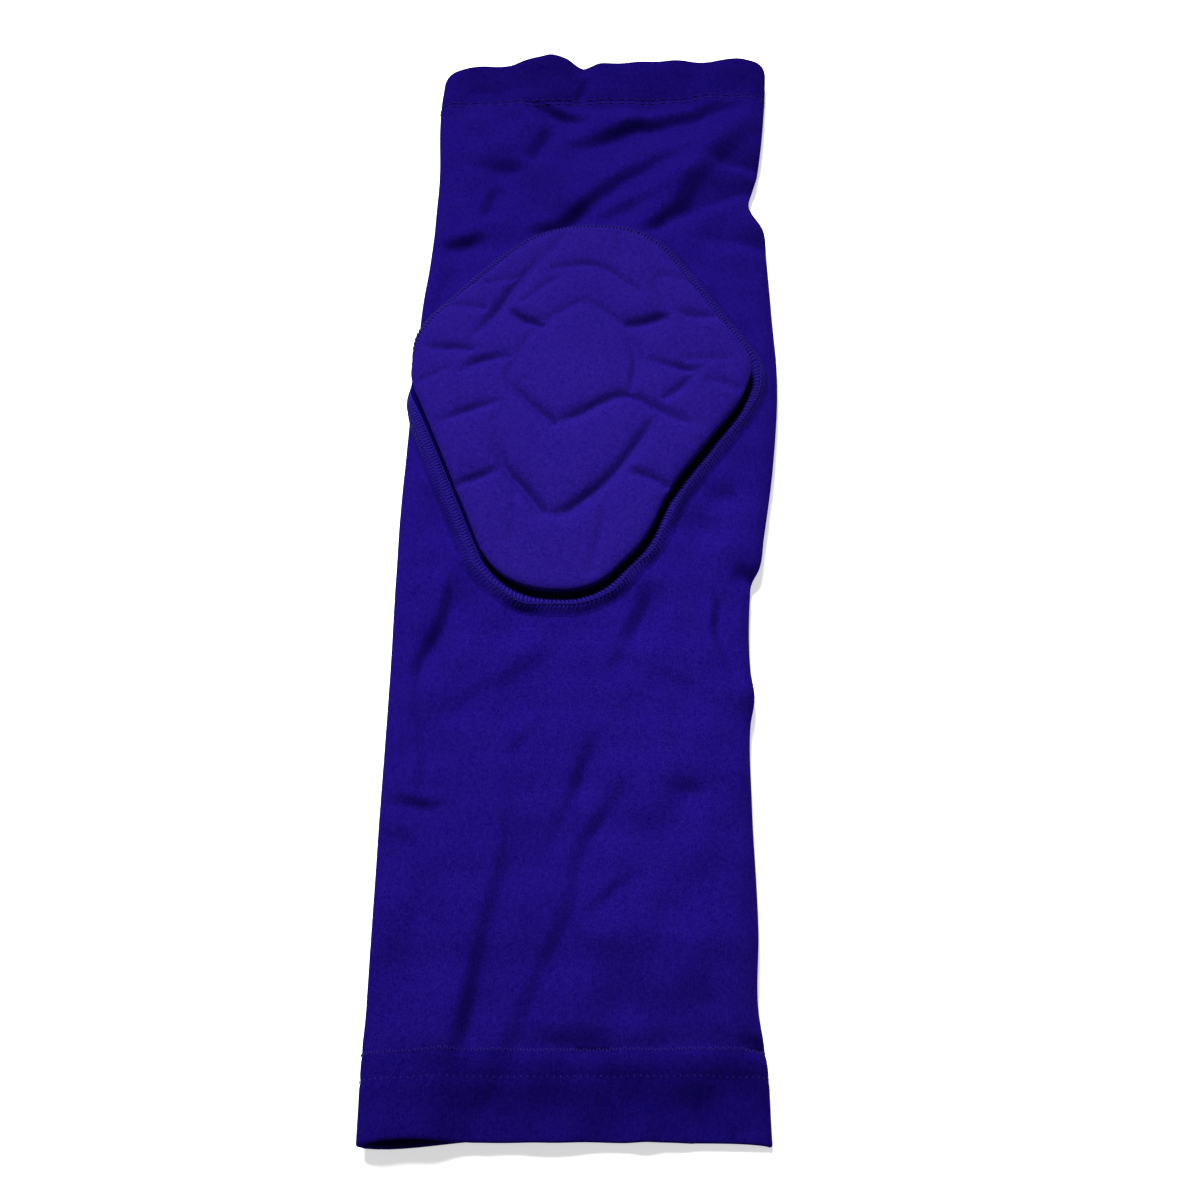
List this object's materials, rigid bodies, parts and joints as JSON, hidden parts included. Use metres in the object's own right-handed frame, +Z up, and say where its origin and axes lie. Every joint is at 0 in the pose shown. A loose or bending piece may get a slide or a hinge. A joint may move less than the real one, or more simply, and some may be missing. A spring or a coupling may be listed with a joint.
{
  "type": "padded arm sleeve",
  "caption": "Flat-lying knitted compression arm sleeve, open at wrist and upper arm, with a grooved foam pad sewn in over the elbow.",
  "frame": {"origin": "centre of the sleeve's outline, on the surface that it lies on", "axes": "+X to the wearer-facing right of the sleeve as it lies pad up, +Y from the wrist mouth to the upper-arm mouth, +Z up through the pad"},
  "size_m": [0.1158, 0.3629, 0.0205],
  "materials": {
    "knit": "matt purple stretch knit",
    "hem": "matt purple stretch knit, two layers",
    "pad": "matt purple knit bonded to foam",
    "thread": "purple seam thread"
  },
  "bodies": {
    "root": {"sleeve_tube": "knit", "bicep_band": "hem", "wrist_hem": "hem", "elbow_pad": "pad", "pad_seam": "thread"}
  },
  "joints": []
}
